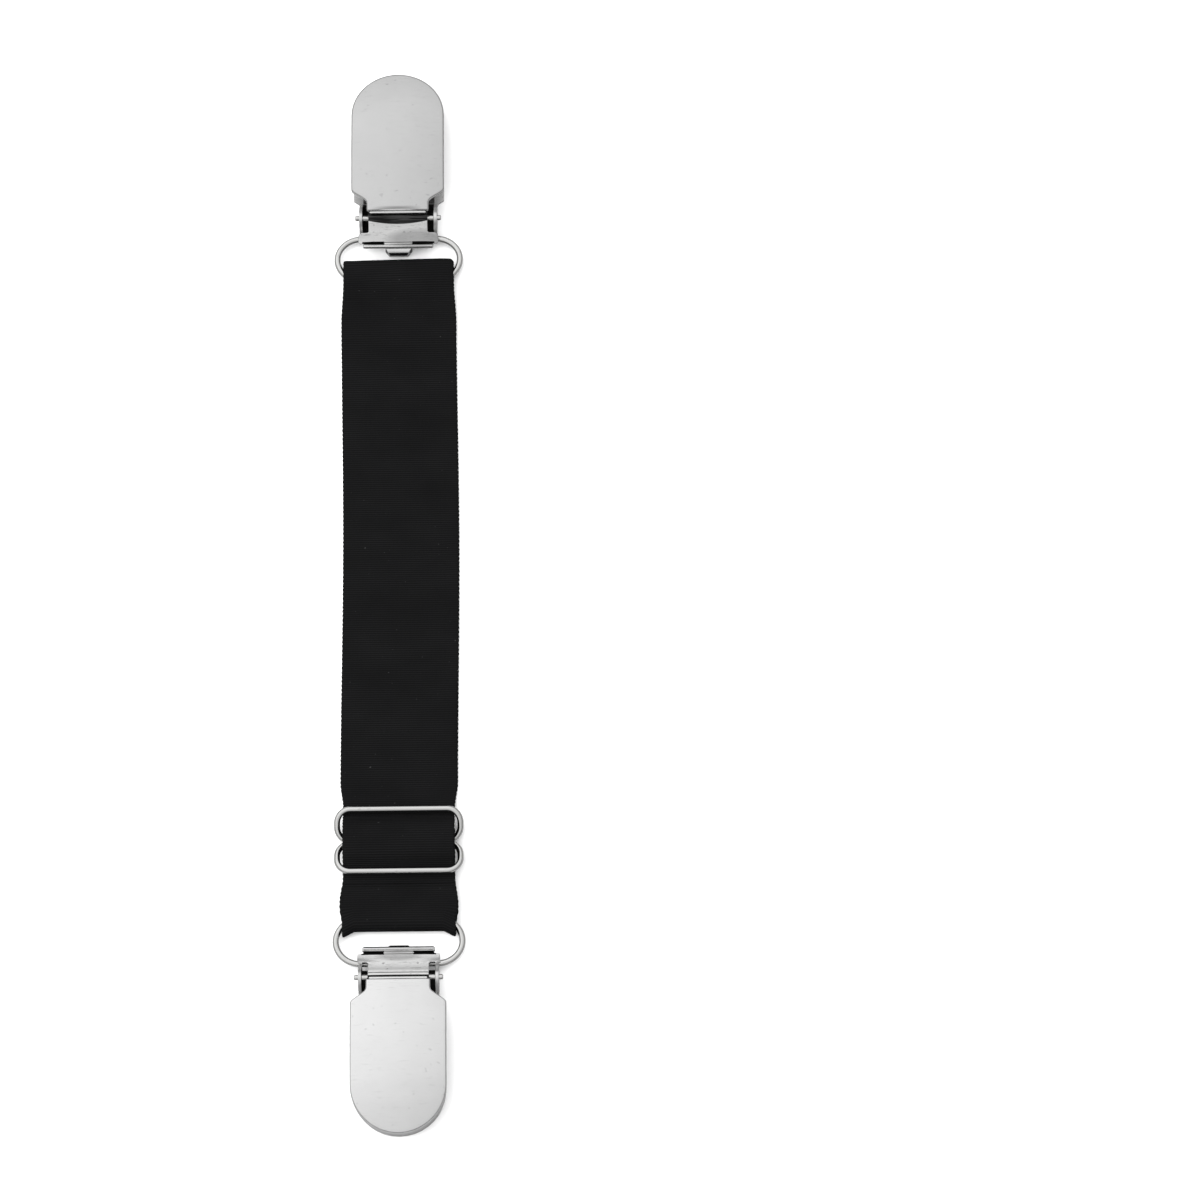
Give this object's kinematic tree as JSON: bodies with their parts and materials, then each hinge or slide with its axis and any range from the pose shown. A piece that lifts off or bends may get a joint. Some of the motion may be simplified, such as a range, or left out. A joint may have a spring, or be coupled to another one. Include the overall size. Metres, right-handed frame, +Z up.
{
  "type": "shirt stay",
  "caption": "Elastic webbing strap with a wire slider, and a ring-hung, lever-locked metal clip at each end, lying flat.",
  "frame": {"origin": "on the table under the middle of the stay's length", "axes": "+Y along the strap toward the clip far from the slider, +Z up out of the stay's front, +X across the webbing"},
  "size_m": [0.0278, 0.233, 0.0092],
  "materials": {
    "webbing": "matt ribbed elastic",
    "plate": "polished nickel, lightly scuffed",
    "lever": "polished nickel",
    "wire": "bright plated wire"
  },
  "bodies": {
    "strap": {"webbing": "webbing", "slider": "wire", "top_ring": "wire", "bottom_ring": "wire"},
    "top_clip": {"top_base_plate": "plate", "top_hinge_pin": "wire"},
    "top_clip_lever": {"top_lever": "lever"},
    "top_jaw": {"top_front_plate": "plate"},
    "bottom_clip": {"bottom_base_plate": "plate", "bottom_hinge_pin": "wire"},
    "bottom_clip_lever": {"bottom_lever": "lever"},
    "bottom_jaw": {"bottom_front_plate": "plate"}
  },
  "joints": [
    {"name": "top_swivel", "type": "hinge", "parent": "strap", "child": "top_clip", "pos_m": [0, 0.08005, 0.00165], "axis": [1, 0, 0], "range_deg": [-90, 60]},
    {"name": "top_lever_hinge", "type": "hinge", "parent": "top_clip", "child": "top_clip_lever", "pos_m": [0, 0.0836, 0.0053], "axis": [-1, 0, 0], "range_deg": [0, 60]},
    {"name": "top_jaw_hinge", "type": "hinge", "parent": "top_clip", "child": "top_jaw", "pos_m": [0, 0.0861, 0.001], "axis": [1, 0, 0], "range_deg": [0, 5.4]},
    {"name": "bottom_swivel", "type": "hinge", "parent": "strap", "child": "bottom_clip", "pos_m": [0, -0.08005, 0.00165], "axis": [-1, 0, 0], "range_deg": [-90, 60]},
    {"name": "bottom_lever_hinge", "type": "hinge", "parent": "bottom_clip", "child": "bottom_clip_lever", "pos_m": [0, -0.0836, 0.0053], "axis": [1, 0, 0], "range_deg": [0, 60]},
    {"name": "bottom_jaw_hinge", "type": "hinge", "parent": "bottom_clip", "child": "bottom_jaw", "pos_m": [0, -0.0861, 0.001], "axis": [-1, 0, 0], "range_deg": [0, 5.4]}
  ],
  "couplings": [
    {"joint": "top_lever_hinge", "follows": "top_jaw_hinge", "ratio": 11.11},
    {"joint": "bottom_lever_hinge", "follows": "bottom_jaw_hinge", "ratio": 11.11}
  ]
}
